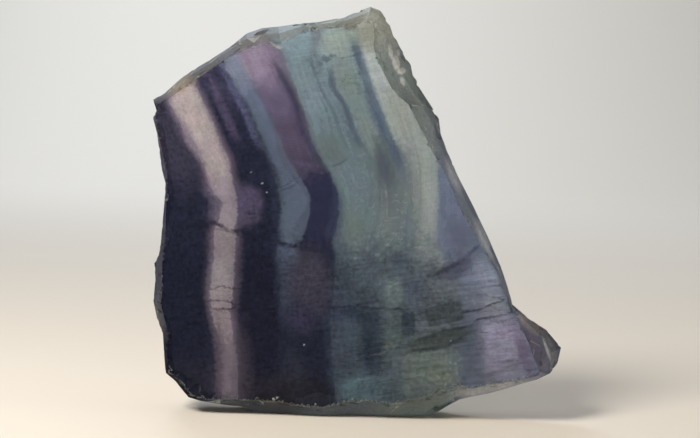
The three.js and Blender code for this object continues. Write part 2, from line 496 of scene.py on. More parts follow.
ACROSS = (-70.0, 70.0)  # and of width, for one drawn across
OUTER_REACH = 15.0  # mm over which the last band on either side runs out


def drawn_line(at, points, reach, span):
    """A line drawn through points: its place in span, at each place in reach."""
    tree = at.tree
    place_at = (at - reach[0]) / (reach[1] - reach[0])
    node = tree.nodes.new("ShaderNodeFloatCurve")
    curve = node.mapping.curves[0]
    flat = [((p - reach[0]) / (reach[1] - reach[0]), (q - span[0]) / (span[1] - span[0])) for p, q in points]
    curve.points[0].location = flat[0]
    curve.points[1].location = (1.0, flat[-1][1])
    for location in flat[1:]:
        curve.points.new(*location)
    for point in curve.points:
        point.handle_type = "AUTO_CLAMPED"
    node.mapping.update()
    connect(tree, place_at, node.inputs["Value"])
    return Wire(tree, node.outputs[0]) * (span[1] - span[0]) + span[0]


def growth_group():
    """How far out a point lies in the crystal's growth: 1 at the first line, 2 at the second, and so on."""
    tree, given = new_group("Growth", "ShaderNodeTree", {"Vector": "Vector"}, {"Growth": "Float"})
    x, z = right_and_up(given["Vector"])
    lines = [drawn_line(z, points, UPWARDS, ACROSS) for points in GUIDES.values()]
    growth = within_one((x - lines[0]) / OUTER_REACH + 1.0)
    for here, there in zip(lines, lines[1:]):
        growth = growth + within_one((x - here) / (there - here))
    growth = growth + within_one((x - lines[-1]) / OUTER_REACH)
    give_out(tree, Growth=growth)
    return tree


def patch_group():
    """A soft-edged patch, round or nearly square, for a cloud in the stone.

    Across and Upright tell how a step in the drawing counts towards the patch's edge, which is at 1.
    """
    takes = {
        "Vector": "Vector", "Wander": 0.0, "Centre": (0, 0, 0), "Across": (1, 0, 0), "Upright": (0, 0, 1),
        "Squareness": 2.0, "Softness": 0.5,
    }
    tree, given = new_group("Soft patch", "ShaderNodeTree", takes, {"Mask": "Float"})
    moved = vector_maths(tree, "SUBTRACT", given["Vector"], given["Centre"])
    power = given["Squareness"]
    across = maths(tree, "POWER", maths(tree, "ABSOLUTE", reach_along(moved, given["Across"])), power)
    up = maths(tree, "POWER", maths(tree, "ABSOLUTE", reach_along(moved, given["Upright"])), power)
    reach = maths(tree, "POWER", across + up, maths(tree, "DIVIDE", 1.0, power))
    soft = given["Softness"]
    give_out(tree, Mask=1.0 - smooth(reach + given["Wander"], 1.0 - soft, 1.0 + soft))
    return tree


def thread_group():
    """A thin line in the stone, from how far aside of it and how far along it a point lies."""
    takes = {"Aside": 0.0, "Along": 0.0, "Start": 0.0, "End": 1.0, "Fade": 1.0, "Width": 0.3}
    tree, given = new_group("Thread", "ShaderNodeTree", takes, {"Mask": "Float"})
    line = 1.0 - smooth(maths(tree, "ABSOLUTE", given["Aside"]) / given["Width"], 0.2, 1.5)
    begins = smooth(given["Along"], given["Start"], given["Start"] + given["Fade"])
    ends = smooth(given["Along"], given["End"] - given["Fade"], given["End"])
    give_out(tree, Mask=line * begins * (1.0 - ends))
    return tree


def band_stops(tones):
    """Growth and colour, from the left rim to the right one."""
    ink, violet, cream, slate, mauve = tones.ink, tones.violet, tones.cream, tones.slate, tones.mauve
    teal, sage, pale = tones.teal, tones.sage, tones.pale
    dim_cream = [c * 0.78 for c in cream]
    dim_violet = [c * 0.55 for c in violet]
    dim_slate = [c * 0.45 for c in slate]
    return [
        (0.0, ink), (0.85, ink), (0.94, dim_violet), (0.99, violet), (1.1, dim_cream), (1.3, cream),
        (1.74, cream), (1.92, dim_cream), (2.02, violet), (2.1, dim_violet), (2.18, ink),
        (2.9, ink), (3.0, dim_slate), (3.22, slate), (3.9, slate),
        (4.06, mauve), (4.75, mauve), (4.93, dim_violet),
        (5.06, teal), (5.45, teal), (5.8, sage), (6.3, sage), (6.75, pale),
        (7.0, pale), (7.75, pale), (8.12, tones.lavender), (9.0, tones.lavender),
    ]


def band_ramp(growth, tones):
    """The growth bands' colours, on two ramps because one can't hold so many stops."""
    tree = growth.tree
    last = len(GUIDES) + 1.0
    stops = band_stops(tones)
    middle = len(stops) // 2
    colours = []
    place_in = growth / last
    for half in (stops[:middle + 1], stops[middle:]):
        node = tree.nodes.new("ShaderNodeValToRGB")
        connect(tree, place_in, node.inputs[0])
        ramp = node.color_ramp
        for position, _ in half[1:-1]:
            ramp.elements.new(position / last)
        ramp.elements[0].position = half[0][0] / last
        ramp.elements[len(half) - 1].position = half[-1][0] / last
        for element, (_, colour) in zip(ramp.elements, half):
            element.color = (*colour[:3], 1.0)
        colours.append(Wire(tree, node.outputs[0]))
    later = maths(tree, "GREATER_THAN", growth, stops[middle][0])
    return mix(later, *colours)


# Clouds in the stone: centre and half size (right and up, in mm of the drawing), turn in degrees
# (positive lifts the right end), squareness, softness, the growth between which it stays, its
# colour and how strongly it is laid on.
CLOUDS = [
    # the dark, pale, slate and purple bands, from the top down
    ("brown ink", (-45.5, 71), (6, 13), 12, 2, 0.5, (0, 0.93), "4A465C", 0.85),
    ("thin ink at the top", (-34.5, 84), (4.5, 9), 45, 2, 0.5, (2.1, 2.9), "4E4B68", 0.65),
    ("pale crust", (-42.8, 84), (4, 1.8), 41, 2.5, 0.4, (0.97, 2.1), "C4B4A2", 0.85),
    ("bright cream", (-42, 77), (4, 6), 30, 2, 0.6, (1.2, 2.0), "D2C6C2", 0.5),
    ("violet wedge", (-41.4, 69), (1.5, 5.4), 28, 2, 0.5, (0.95, 1.5), "96899D", 0.75),
    ("ink wedge", (-36.2, 54.4), (2.2, 4.2), 0, 2, 0.6, (0.8, 1.25), "70677F", 0.7),
    ("violet lobe", (-27.4, 53.4), (3.8, 5.2), -8, 2.2, 0.25, (1.95, 3), "645A79", 0.9),
    ("bright slate", (-30.5, 90.5), (4, 7.5), 24, 2, 0.6, (2.95, 4.05), "9FA6BC", 0.8),
    ("bright purple", (-24.5, 90.5), (5, 7), 24, 2, 0.6, (4, 4.95), "BEACC6", 0.8),
    ("dim purple", (-15.4, 68), (4, 7), 20, 2, 0.5, (4, 4.95), "60566F", 0.7),
    ("slate below", (-15.5, 52), (4, 8), 0, 2, 0.6, (2.95, 4.1), "6B798F", 0.85),
    ("purple sinks", (-9, 50), (10, 13), 0, 2, 0.3, (4.0, 5.0), "2E3152", 0.95),
    ("bands sink", (-11, 19), (12, 24.4), 0, 5, 0.1, (2.7, 5.0), "22283E", 1.0),
    ("ink's end", (-5.4, 18), (2.0, 22), 0, 2, 0.8, (4.5, 5.0), "3A455C", 0.7),
    ("dark fringe", (-4.2, 18), (2.4, 22), 0, 2, 0.9, (4.97, 5.7), "323B50", 0.85),
    ("blue glow", (-17.3, 40.4), (2.8, 3.6), 0, 2, 0.5, None, "68748F", 0.95),
    ("blue edge", (-17.6, 33.5), (2.6, 7.5), 0, 2, 0.6, None, "474F66", 0.9),
    ("dusk", (-11.6, 34.2), (5.2, 8.4), 6, 2, 0.45, None, "4B485C", 0.95),
    ("low dusk", (-14, 25), (4.6, 3.6), 0, 2, 0.6, None, "3F3E5C", 0.8),
    ("blue trace", (-15.8, 8), (2.6, 8), 0, 2, 0.7, None, "363B4C", 0.75),
    # Painted shade: these two ink clouds darken the dark bands towards the foot, where less light comes
    # through.
    ("ink shaded below, left", (-44, 24), (10, 20), 0, 2.4, 0.4, (0, 0.9), "1C2038", 0.9),
    ("ink shaded below, right", (-25, 24), (6, 21), 0, 2.4, 0.4, (2.2, 2.95), "1A1C33", 0.9),
    ("brown foot", (-18, 5), (14, 5), 0, 2.4, 0.5, (2.2, 5.0), "2E2B33", 0.7),
    ("brown corner below", (-42, 7), (8, 7), 0, 2.4, 0.5, (0, 0.9), "33323E", 0.4),
    ("cream's waist", (-33.6, 53), (4.5, 7.5), 0, 2, 0.5, (1.05, 1.98), "ACA0AE", 0.85),
    # Painted shade: the cream's clouds from here down to its root darken it step by step towards the foot.
    ("shaded cream", (-33, 37), (7, 9.5), 0, 2.4, 0.4, (1.05, 1.98), "A8A0A9", 0.9),
    ("cream's shade", (-33, 43.4), (4.5, 3.4), 0, 2, 0.6, (1.05, 1.98), "988C96", 0.7),
    ("dim cream", (-33, 24), (7, 7), 0, 2.4, 0.5, (1.05, 1.98), "A69AA3", 0.9),
    ("cream's root", (-32, 6), (7, 14), 0, 2.4, 0.4, (1.05, 1.98), "7A7182", 0.9),
    ("violet beside the root", (-35.4, 9), (1.5, 12), -3, 2.4, 0.5, (0.9, 1.7), "584D60", 0.85),
    ("brown violet", (-28.6, 8), (2.2, 14), 0, 2, 0.6, (2.0, 2.5), "4A4254", 0.7),
    # the sea-blue and pale zones
    ("grey teal", (-12.2, 85.5), (4.4, 7.5), 22, 2, 0.6, (5, 6.2), "93A3AE", 0.55),
    ("milky top", (-4.6, 94.2), (4.4, 3.4), 10, 2, 0.5, None, "BEC9C3", 0.75),
    ("grey notch", (-10, 95.6), (1.4, 2.8), 0, 2, 0.6, None, "8B929F", 0.75),
    ("khaki corner", (4.6, 97), (4.6, 5.6), -25, 2.2, 0.5, None, "AEAF9F", 0.85),
    ("rust stain", (-1.4, 98.3), (1.6, 1.1), 10, 2, 0.5, None, "8B8370", 0.85),
    ("brown corner", (5.6, 97.2), (1.1, 1.6), 0, 2, 0.6, None, "93917C", 0.6),
    ("smudge", (-10.6, 89.6), (1.2, 3.6), 12, 2, 0.6, None, "76838F", 0.6),
    ("dark knots", (-7.6, 90.0), (1.0, 0.7), -30, 2, 0.6, None, "5B6878", 0.8),
    ("upper knot", (-6.0, 90.8), (0.8, 0.5), 10, 2, 0.6, None, "5F6C7C", 0.7),
    ("lower knot", (-8.8, 89.0), (0.7, 0.8), 0, 2, 0.6, None, "66737F", 0.6),
    ("green between", (3.6, 71), (2.1, 6.4), 22, 2, 0.5, None, "9AA9A8", 0.75),
    ("green above", (-2.6, 85), (2.6, 6), 20, 2, 0.5, None, "8A9893", 0.7),
    ("dim teal", (-6.6, 67.5), (3.4, 3.4), 0, 2, 0.6, (5.05, 6), "7A8785", 0.7),
    ("milky flank", (11.2, 76.6), (2.8, 6.4), 24, 2, 0.5, (6.4, 8), "B4BAB1", 0.7),
    ("dusky cloud", (7.4, 61.4), (2.1, 8.4), 13, 2, 0.6, None, "5E6476", 0.9),
    ("blue of the streak", (5.4, 76), (1.3, 3.6), 20, 2, 0.6, None, "778BAA", 0.7),
    ("dim stretch", (12, 56), (2.6, 11), 4, 2, 0.5, (6.05, 7.0), "8A989B", 0.7),
    ("grey stretch", (14.2, 54), (1.9, 13), 4, 2, 0.5, None, "8C9698", 0.75),
    ("bright pale", (18.4, 61.4), (1.8, 12.4), 2, 2, 0.5, (6.3, 8), "C6CEC8", 0.85),
    ("grey heart", (8.6, 49.6), (3.0, 9.4), 4, 2, 0.5, None, "858E94", 0.7),
    ("deep lavender", (25.7, 45.6), (3.4, 4.6), 20, 2, 0.5, None, "737892", 0.75),
    ("blue column", (13.2, 44), (1.7, 9), 0, 2.2, 0.5, None, "76889A", 0.7),
    ("green cloud", (-0.6, 47), (2.4, 6), 4, 2, 0.6, None, "83948F", 0.75),
    ("sage below", (9.2, 33), (2.2, 4), 0, 2, 0.6, None, "7F8E90", 0.6),
    # Painted shade: the next three clouds darken the sea-blue zone towards the foot.
    ("shaded low sea", (9, 21), (19, 21.5), 0, 2.6, 0.22, (4.97, 8.2), "5D6B78", 0.92),
    ("deep sea", (-1, 22), (7.5, 14), 0, 2.2, 0.4, (4.97, 6.2), "4A5665", 0.8),
    ("shaded edge", (-3.6, 24), (3.4, 19), 0, 2.4, 0.5, (4.97, 6.2), "465061", 0.75),
    ("slant of shade", (3.6, 41), (1.1, 4.2), -26, 2, 0.6, None, "596477", 0.75),
    ("dark knot", (10.6, 40.2), (2.1, 1.8), 0, 2, 0.6, None, "4C5666", 0.8),
    ("pale stub", (17.6, 42), (2.2, 4), 0, 2, 0.6, (6.6, 8), "8C969E", 0.6),
    ("slate column", (14.1, 32.4), (2.0, 3.4), 0, 2.4, 0.5, None, "626C86", 0.75),
    ("green glint", (9.3, 31.6), (2.0, 3.0), -8, 2.4, 0.5, None, "879A9C", 0.85),
    ("navy bar", (-2.2, 26.1), (4.4, 2.0), 0, 2.4, 0.5, None, "35435A", 0.85),
    ("sea heart", (-2.4, 20.8), (3.2, 3.9), 0, 2, 0.5, None, "4F5D70", 0.85),
    ("indigo column", (4.0, 18.4), (2.6, 9.2), 0, 3, 0.4, None, "313E50", 0.9),
    ("green column", (9.9, 23), (2.1, 4.3), 0, 2.6, 0.4, None, "5F6F72", 0.8),
    ("pale chip", (8.2, 18.6), (1.6, 1.0), 10, 2, 0.5, None, "76827E", 0.75),
    ("sea foot", (1.6, 6.9), (5.6, 3.2), 0, 2.4, 0.4, (4.97, 7.2), "6E8A98", 0.85),
    # the lower right
    ("under the crack", (22.2, 32.4), (4.4, 3.2), 10, 2, 0.5, None, "757B88", 0.8),
    ("beside the pane", (16.2, 29.5), (2.6, 4.4), 0, 2, 0.5, None, "5D6878", 0.7),
    ("right of the pane", (29.3, 28), (3.8, 5.6), 10, 2, 0.5, None, "777F93", 0.8),
    ("crack's shade", (25.6, 38), (6.4, 2.0), 33, 2, 0.6, None, "53566B", 0.85),
    ("clear corner", (33.4, 34.2), (2.8, 6.6), 24, 2, 0.45, (8.0, 12), "A6AFC6", 0.85),
    ("clear band", (34.6, 27.4), (3.6, 3.6), 12, 2, 0.5, None, "9EA2AF", 0.75),
    ("moss", (17.8, 11.2), (8.2, 7.4), 10, 2, 0.6, (6.2, 8.6), "7B8886", 0.9),
    ("yellow moss", (22, 10), (3.0, 2.0), 10, 2, 0.6, None, "929B8F", 0.7),
    ("slate corner", (29.2, 15.4), (3.8, 8), 0, 2.6, 0.5, (7.6, 11), "677185", 0.85),
    ("lilac corner", (37.4, 17.6), (5.4, 8.2), 8, 2.6, 0.35, (8.4, 12), "AEABC8", 0.9),
    ("lilac's foot", (36, 10.8), (6, 2.4), 14, 2, 0.5, (8.2, 12), "9594A6", 0.7),
    ("violet corner", (42.2, 16.4), (1.5, 6.4), 18, 2, 0.5, (9, 12), "86799A", 0.85),
    ("bundle of shades", (20.6, 19.6), (9.4, 2.0), 17, 2.6, 0.4, None, "47504F", 0.85),
    ("gap in the bundle", (19.5, 22.4), (1.6, 0.8), 10, 2, 0.6, None, "6B7474", 0.7),
]

# Panes with straight edges, as the clouds.
PANES = [
    ("dark pane", (22, 26.2), (4.6, 2.5), 13, 8, 0.08, None, "495358", 0.92),
    ("small pane", (12.9, 23.8), (1.7, 3.0), 0, 6, 0.14, None, "384755", 0.85),
]

# Streaks drawn upwards through (height, distance to the right): half width in mm, colour, strength.
STREAKS = [
    ("violet thread", [(53.5, -42.4), (59, -44), (64, -46)], 0.5, "43466A", 0.6),
    ("violet in the ink", [(68, -28.8), (72, -30.8), (75.6, -32.3), (79, -33.7), (82.6, -35.3),
     (91, -39)], 1.3, "5F5574", 0.8),
    ("indigo", [(66, -23.6), (68.6, -24.6), (72, -25.9), (75.6, -27.3), (79, -28.9), (82.6, -30.8),
     (86, -32.4), (90, -34.3), (95, -36.5)], 0.95, "64678A", 0.85),
    ("purple's dark edge", [(60, -7), (62, -8), (65, -9.8), (68.6, -11.7), (72, -13.2), (75.6, -14.2),
     (79, -15.3), (82.6, -16.8), (86, -18.8), (92, -21)], 0.95, "474562", 0.85),
    ("blue fringe", [(42, -5.4), (47, -4.6), (51, -3.9), (55, -3.9), (60, -4.9)], 0.8, "4E5975", 0.5),
    ("first sea streak", [(65.6, -1.2), (67.6, -2), (70.1, -3.5), (73.4, -4.75), (76.6, -5.75),
     (79.6, -7.25), (82.1, -8.75), (86, -10.2), (92, -12)], 0.5, "6D7C8C", 0.75),
    ("second sea streak", [(65.6, 2.4), (67.4, 1.75), (69.1, 0.5), (71.4, -0.5), (74.6, -1.75),
     (77.6, -2.75), (80.4, -4.25), (82.6, -5.75), (86.6, -6.6), (90, -7)], 0.95, "566379", 0.9),
    ("third sea streak", [(60, 12.1), (61.6, 11.5), (65.4, 10), (69.1, 8.5), (72.1, 7), (75.4, 5.75),
     (77.9, 4.75), (81.6, 3.5), (85.1, 2.25), (89.1, 1), (92.1, 0), (97, -1)], 1.3, "566580", 0.85),
    ("third streak below", [(56, 12.4), (60, 11.9), (65.4, 10), (69.1, 8.5), (72.1, 7), (76, 5.4)],
     0.7, "66758E", 0.7),
    ("left arc", [(38.7, 1.9), (45.5, 3.9), (50.5, 5.3), (56, 5.5), (62.4, 5.3), (68, 3.4)],
     0.32, "717D84", 0.6),
    ("middle arc", [(46, 8.6), (52, 10.6), (58, 11.4), (64, 10.6), (70, 8.4)], 0.28, "7F888E", 0.5),
    ("pale arc", [(44, 6.6), (50, 7.6), (56, 7.4), (62, 6.2)], 0.3, "A0A9A6", 0.45),
    ("right arc", [(46, 12.6), (54, 13.8), (62, 13.2), (68, 11.4)], 0.3, "838C92", 0.45),
    ("shade in the third", [(76, 4.6), (81.6, 2.9), (85.1, 1.9), (88, 1.3)], 0.8, "5A6880", 0.6),
    ("line in the pale zone", [(48, 15.4), (56, 15.9), (64, 15.6), (71, 14.2)], 0.35, "87908F", 0.5),
    ("pale fringe", [(49, -3.6), (52, -2.4), (56, -2.6), (62, -4.4), (66, -6.2)], 0.9, "8F9FA4", 0.3),
]

# Cracks drawn from left to right through (distance to the right, height): width in mm, strength.
CRACKS = [
    ([(-44, 48.2), (-38, 48.6), (-35.5, 49.1), (-32.2, 47.4), (-29, 47), (-26.8, 46.2), (-21.8, 45.1),
      (-18.5, 43.9), (-14.2, 43.1), (-8, 42.3)], 0.6, 0.8),
    ([(-36, 47.8), (-33, 47.2), (-29.5, 46), (-26, 45.2)], 0.25, 0.5),
    ([(-15.5, 43.9), (-12.2, 44.6), (-9.6, 44.3)], 0.2, 0.5),
    ([(-37.7, 32.3), (-36, 32.5), (-34.2, 33.2), (-31, 32.6), (-26, 32.6)], 0.2, 0.7),
    ([(-42, 29), (-37.4, 29.5), (-33, 29.6), (-30.5, 28.6), (-24.5, 29.2), (-19, 29)], 0.26, 0.75),
    ([(-37, 27.6), (-31.8, 27.4), (-29.4, 28.5)], 0.26, 0.8),
    ([(-36.5, 26.4), (-34, 26.9), (-31.5, 26.2)], 0.16, 0.5),
    ([(-35, 25.2), (-32.4, 25), (-30.6, 25.4)], 0.16, 0.4),
    ([(-8.4, 27.6), (-1.8, 28.1), (5, 27.7), (12, 27.5)], 0.3, 0.6),
    ([(16.6, 35.4), (20.5, 36.6), (25.5, 39.2), (31.4, 43.2)], 0.7, 0.55),
    ([(25.4, 26.5), (27.5, 26.9), (30.8, 27.4), (33.2, 28.4), (35.8, 29.4), (39, 30.1)], 0.32, 0.8),
    ([(31.4, 31.2), (35.8, 30.1), (38.6, 29.9)], 0.2, 0.5),
    ([(27, 21.6), (28.5, 22.9), (30, 24.6), (33.8, 25.4), (37, 26.1), (40.4, 26.7)], 0.34, 0.7),
    ([(32.6, 24.6), (35.8, 24.4), (40.2, 25.2)], 0.3, 0.5),
    ([(29.6, 21.9), (33, 21.4), (35.8, 21.1), (40.4, 22.2)], 0.24, 0.4),
    ([(-21, 56.4), (-16.8, 58.1), (-13.6, 59.6)], 0.24, 0.6),
    ([(-20.6, 57.6), (-17.4, 58.8), (-14.6, 60.4)], 0.2, 0.5),
    ([(-7.4, 63.2), (-4, 64.2), (-1.2, 65.8)], 0.28, 0.5),
    ([(-6, 90.1), (-2.8, 90.4), (0.6, 91)], 0.18, 0.4),
    ([(-18, 77.4), (-14.5, 78.4), (-12, 78.2)], 0.16, 0.35),
    ([(12.5, 18.9), (17, 20.2), (21.2, 21.8), (26, 22.6), (31, 23.9)], 0.4, 0.5),
    ([(12.8, 16.9), (18, 17.4), (23, 18.4), (31, 22.4)], 0.5, 0.45),
    ([(-3, 16.6), (2, 17.2), (8, 19.2)], 0.16, 0.3),
]

# Glints from left to right through (distance to the right, height): width in mm, strength.
GLINTS = [
    ([(8.2, 56.5), (9.2, 56.2), (10.6, 56.2)], 0.24, 0.4),
    ([(8.3, 53.9), (9.5, 54.9), (10.6, 54.6), (11.4, 53.5)], 0.32, 0.5),
    ([(9.6, 52.6), (10.8, 52.3), (11.6, 52.7)], 0.26, 0.4),
    ([(7.8, 49.8), (9.2, 50.4), (11.6, 50.7)], 0.24, 0.4),
    ([(8, 46.8), (9.6, 46.6), (11.2, 47)], 0.22, 0.4),
    ([(3, 15.8), (6, 16.1), (9, 17.8)], 0.16, 0.35),
]
# A pale shell broken out of the upper edge, as a glint.
CRESCENT = ([(-21.8, 94.4), (-20.6, 93.4), (-19.4, 92.9), (-18.2, 92.7)], 0.35, 0.8)
GLINT, SHELL, PIT, SAW_DUST = "A8B4B2", "E2DCC8", "E6E8E6", "A8A8B0"

# Bright pits in the polish: place (right and up), radius in mm, strength.
PITS = [
    ((-26.5, 61.9), 0.24, 0.6), ((-23.6, 59.1), 0.34, 1.0), ((-22.6, 56.9), 0.3, 0.8),
    ((-13.2, 18.4), 0.2, 0.8), ((-8.8, 61.6), 0.3, 0.25), ((11.2, 84.1), 0.26, 0.7),
    ((12.1, 83.5), 0.2, 0.7), ((23.6, 19.4), 0.16, 0.6), ((7.4, 89.5), 0.18, 0.6),
    ((-21.0, 4.5), 0.4, 0.8), ((-20.2, 4.9), 0.4, 0.9), ((-10.4, 3.3), 0.3, 0.6),
]

# Skin of the broken rim: as the clouds, but over all of the growth.
SKIN = [
    # the top, from left to right
    ("left shoulder", (-43.2, 83.8), (4, 2.4), 40, 2, 0.4, "B3A48C", 0.9),
    ("grey slope", (-37.6, 87.8), (5, 2.6), 40, 2.4, 0.4, "6E6B70", 1.0),
    ("slate slope", (-31.4, 91.4), (3.4, 2.4), 32, 2, 0.5, "74767F", 0.85),
    ("first crown", (-27.4, 94.8), (3.2, 2), 30, 2, 0.5, "6E7169", 0.85),
    ("brown crown", (-23.4, 96.4), (4, 2.2), 12, 2, 0.5, "8E8C8C", 0.8),
    ("blue crown", (-15.4, 97.2), (7, 2.4), 5, 2.2, 0.4, "A4AEB0", 0.85),
    ("pale crown", (-6, 98.8), (5, 2.0), 10, 2.2, 0.5, "A0A299", 0.85),
    ("khaki crown", (-1, 100.3), (4, 2.2), 14, 2, 0.5, "A8A696", 0.85),
    # Painted light: the peak and the flank below it are made nearly white, as light on facets that face away
    # from the lamps; the flank's khaki is its own skin.
    ("peak", (5.4, 100.8), (3.2, 3), -4, 2, 0.5, "F8F8EC", 0.95),
    ("khaki flank", (7, 95.4), (3, 6.4), 16, 2.2, 0.4, "F6F6EA", 1.0),
    # the right side, downwards
    ("upper right facet", (13, 82), (4.6, 15), 30, 2.4, 0.4, "8D9695", 0.9),
    ("facet's dark side", (8.4, 86), (2, 5.5), 22, 2.4, 0.4, "8A928F", 0.8),
    ("facet's foot", (13, 79.6), (1.3, 2.8), 30, 2, 0.5, "6F7C80", 0.8),
    ("dark hollow", (10.9, 83.6), (1.1, 5.8), 34, 2.4, 0.4, "7C8786", 0.7),
    # The frosts are pale crushed stone, made nearly white as painted light on facets that face away from the
    # lamps.
    ("first frost", (8.4, 91.9), (0.6, 1.8), 8, 2, 0.3, "F6F2E8", 1.0),
    ("second frost", (10.4, 91.7), (0.45, 0.8), 0, 2, 0.4, "F6F2E8", 0.9),
    ("third frost", (9.8, 89.1), (0.9, 2.0), 10, 2, 0.3, "F6F2E8", 1.0),
    ("fourth frost", (11.2, 87), (1.1, 0.8), 20, 2, 0.3, "F6F2E8", 1.0),
    ("fifth frost", (11.4, 84.5), (0.5, 1.1), 20, 2, 0.4, "F6F2E8", 0.9),
    ("right rim", (30.5, 48.4), (4.5, 26), 23, 3, 0.3, "8D95A2", 0.85),
    ("right rim's light", (24.4, 60.8), (1.2, 4), 24, 2, 0.6, "E6EAF0", 0.85),
    ("right rim's glow", (31.8, 45.6), (1.2, 4.4), 22, 2, 0.6, "E6EAF0", 0.85),
    ("lobe", (47, 16.5), (6, 9), 0, 3, 0.3, "6C6976", 0.9),
    ("lobe's heart", (44.2, 18.6), (2.2, 4.6), 20, 2, 0.4, "786E88", 0.85),
    ("lobe's crest", (44.0, 23.4), (4.8, 1.5), -37, 2, 0.4, "C6BAB4", 0.85),
    ("lobe's light facet", (49.4, 16.4), (1.4, 5), 18, 2, 0.5, "A4A2A2", 0.8),
    ("lobe's bright edge", (48.1, 17), (0.35, 2.8), 19, 2, 0.4, "F2F0EC", 0.9),
    ("lobe's foot", (45.0, 11), (4.2, 2.4), 30, 2, 0.5, "A39AA9", 0.85),
    # the foot and the left side
    # The lower right is pale stone, made paler still as painted light on facets that look down into shade.
    ("lower right", (34, 7), (9.4, 3), 15, 3, 0.4, "DAD5CC", 0.85),
    ("rust by the lobe", (36.6, 9.4), (1.2, 0.8), 20, 2, 0.6, "8A7E6E", 0.7),
    ("dark foot", (-21, 2.4), (15, 4.6), 0, 4, 0.3, "595A5B", 0.9),
    ("foot", (3, 1.6), (13, 4.2), 0, 4, 0.3, "696D6E", 0.9),
    ("green foot", (15, 3), (9, 4.6), 4, 3, 0.4, "818B80", 0.9),
    ("left rim", (-48.6, 36), (3.4, 16), 0, 3, 0.3, "5F5D6F", 0.85),
    ("left rim above", (-48, 66), (3.4, 15), -8, 3, 0.3, "63607A", 0.8),
    ("left rim's grey", (-49.6, 27), (1.6, 4), 0, 2, 0.5, "78777C", 0.7),
]


def laid(colour, mask, code):
    """A plain colour laid over the stone's."""
    return mix(mask, colour, tone(code))


def in_patch(drawn, patch, wander, centre, half, turn, squareness, softness):
    """The mask of one patch of the tables above."""
    c, s = math.cos(math.radians(turn)), math.sin(math.radians(turn))
    return place(
        drawn.tree, patch, Vector=drawn, Wander=wander, Centre=(centre[0], 0, centre[1]),
        Across=(c / half[0], 0, s / half[0]), Upright=(-s / half[1], 0, c / half[1]), Squareness=squareness,
        Softness=softness,
    )


def clouded(colour, drawn, growth, patch, wander, table):
    """The clouds of a table, each laid over the ones before."""
    for _, centre, half, turn, squareness, softness, bands, code, strength in table:
        mask = in_patch(drawn, patch, wander, centre, half, turn, squareness, softness) * strength
        if bands:
            mask = mask * smooth(growth, bands[0] - 0.04, bands[0] + 0.04)
            mask = mask * (1.0 - smooth(growth, bands[1] - 0.04, bands[1] + 0.04))
        colour = laid(colour, mask, code)
    return colour


def streaked(colour, drawn, group, breadth):
    """The streaks along the growth, each laid over the ones before."""
    x, z = right_and_up(drawn)
    for _, points, width, code, strength in STREAKS:
        low, high = points[0][0], points[-1][0]
        aside = x - drawn_line(z, points, UPWARDS, ACROSS)
        mask = place(
            colour.tree, group, Aside=aside, Along=z, Start=low, End=high,
            Fade=min(5.0, (high - low) / 2), Width=breadth * width,
        )
        colour = laid(colour, mask * strength, code)
    return colour


def hairlines(drawn, table, group, breadth):
    """The mask of all lines of a table that are drawn from left to right."""
    x, z = right_and_up(drawn)
    total = 0.0
    for points, width, strength in table:
        low, high = points[0][0], points[-1][0]
        aside = z - drawn_line(x, points, ACROSS, UPWARDS)
        mask = place(
            drawn.tree, group, Aside=aside, Along=x, Start=low, End=high,
            Fade=min(1.6, (high - low) / 3), Width=breadth * width,
        )
        total = maths(drawn.tree, "MAXIMUM", mask * strength, total)
    return total


def stirred(vector, scale, detail, reach):
    """A small shift within the drawing that wanders over the stone, by up to about half of reach."""
    across = noise(vector, scale, detail, 0.6) - 0.5
    up = noise(vector_maths(vector.tree, "ADD", vector, (31.0, 0.0, 17.0)), scale, detail, 0.6) - 0.5
    return join(vector.tree, across * reach, 0.0, up * reach)


def attribute(tree, name):
    return build(tree, "ShaderNodeAttribute", output=2, attribute_name=name)


def drawn_place(tree):
    """Where a point of the stone lies in the drawing, in mm: x to the right, y inwards and z up."""
    in_stone = build(tree, "ShaderNodeTexCoord", output=3)
    right, up = [-zero / MM * DRAWN_SCALE + more for zero, more in zip(DRAWN_ORIGIN, DRAWN_SHIFT)]
    scale = (DRAWN_SCALE / MM, 1 / MM, DRAWN_SCALE / MM)
    move = {"Vector": in_stone, "Location": (right, 0.0, up), "Scale": scale}
    moved = build(tree, "ShaderNodeMapping", move, vector_type="POINT")
    turn = {"Vector": moved, "Angle": TURN}
    return build(tree, "ShaderNodeVectorRotate", turn, rotation_type="Y_AXIS")


